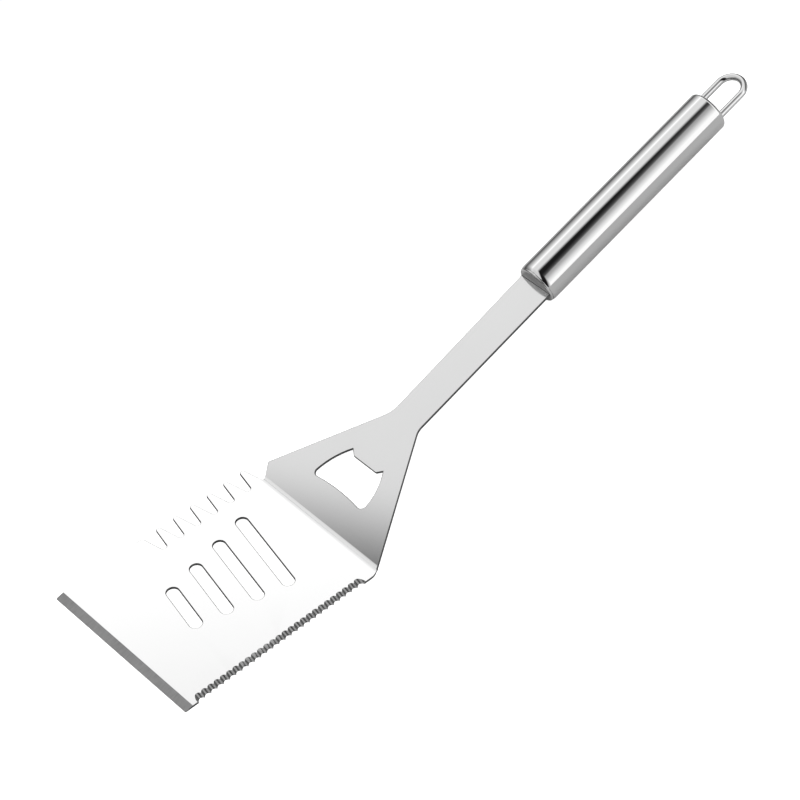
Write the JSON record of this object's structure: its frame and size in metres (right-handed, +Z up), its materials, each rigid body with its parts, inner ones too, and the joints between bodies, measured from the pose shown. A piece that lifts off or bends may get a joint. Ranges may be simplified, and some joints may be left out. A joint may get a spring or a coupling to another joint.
{
  "type": "grill spatula",
  "caption": "Long-handled steel grill spatula: slotted bent blade, wavy teeth, serrated edge, bottle opener in the neck, round tube handle with a wire loop.",
  "frame": {"origin": "middle of the bottom face of the bounding box of the spatula as it lies on a table", "axes": "+X from the blade's front edge to the hanging loop, +Y to the toothed side of the blade, +Z up; it rests on the underside of its bend and on the front end of the handle tube"},
  "size_m": [0.4584, 0.1052, 0.033],
  "materials": {
    "satin_sheet": "satin stainless sheet",
    "polished_tube": "mirror-polished stainless tube",
    "brushed_cap": "brushed face with a polished rim",
    "polished_cap": "mirror-polished stainless steel",
    "polished_wire": "polished stainless wire",
    "weld": "unground weld bead"
  },
  "bodies": {
    "root": {"blade_and_shank": "satin_sheet", "handle_tube": "polished_tube", "front_cap": "brushed_cap", "rear_cap": "polished_cap", "hanging_loop": "polished_wire", "tang_weld_upper": "weld", "tang_weld_lower": "weld", "loop_weld_left": "weld", "loop_weld_right": "weld"}
  },
  "joints": []
}
